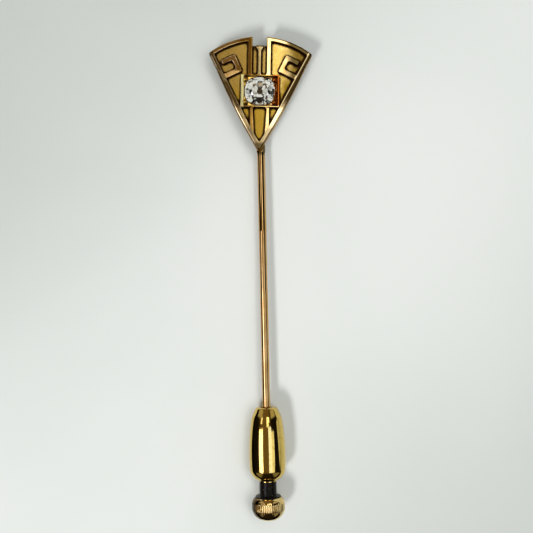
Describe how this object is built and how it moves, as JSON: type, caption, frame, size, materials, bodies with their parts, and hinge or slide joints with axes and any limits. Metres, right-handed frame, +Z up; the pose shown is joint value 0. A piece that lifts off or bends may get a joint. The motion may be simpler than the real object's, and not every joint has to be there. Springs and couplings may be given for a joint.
{
  "type": "stick pin",
  "caption": "Gold stick pin: a fan-shaped head with raised key ornament and a cushion-cut clear stone in a box setting, on a long stem with a pull-off bullet clutch.",
  "frame": {"origin": "bottom centre of the whole pin as it lies face up on a table: z = 0 is the table, x and y are the middle of its box", "axes": "+Z up, out of the face of the head; +Y along the pin from the clutch to the head; +X to the right, seen from the front with the head up"},
  "size_m": [0.0136, 0.0645, 0.0049],
  "materials": {
    "yellow_gold": "polished raised work over a satin, darkened ground",
    "bright_gold_plate": "mirror polished",
    "grip_metal": "turned, dull",
    "black_metal": "blackened, semi-gloss",
    "clear_stone": "polished facets"
  },
  "bodies": {
    "pin_body": {"pin": "yellow_gold", "stone": "clear_stone"},
    "jaws_body": {"clutch_jaws": "grip_metal"},
    "barrel_body": {"clutch_barrel": "bright_gold_plate"},
    "plunger_body": {"clutch_neck": "black_metal", "clutch_knob": "bright_gold_plate"}
  },
  "joints": [
    {"name": "clutch_slide", "type": "slide", "parent": "pin_body", "child": "jaws_body", "axis": [0, -0.9998, 0.0179], "range_m": [-0.004, 0.014]},
    {"name": "clutch_spin", "type": "hinge", "parent": "jaws_body", "child": "barrel_body", "pos_m": [0, -0.01892, 0.00239], "axis": [0, -0.9998, 0.0179], "continuous": true},
    {"name": "knob_pull", "type": "slide", "parent": "barrel_body", "child": "plunger_body", "axis": [0, -0.9998, 0.0179], "range_m": [0, 0.0015], "stiffness_N_per_m": 100, "springref_m": -0.005}
  ]
}
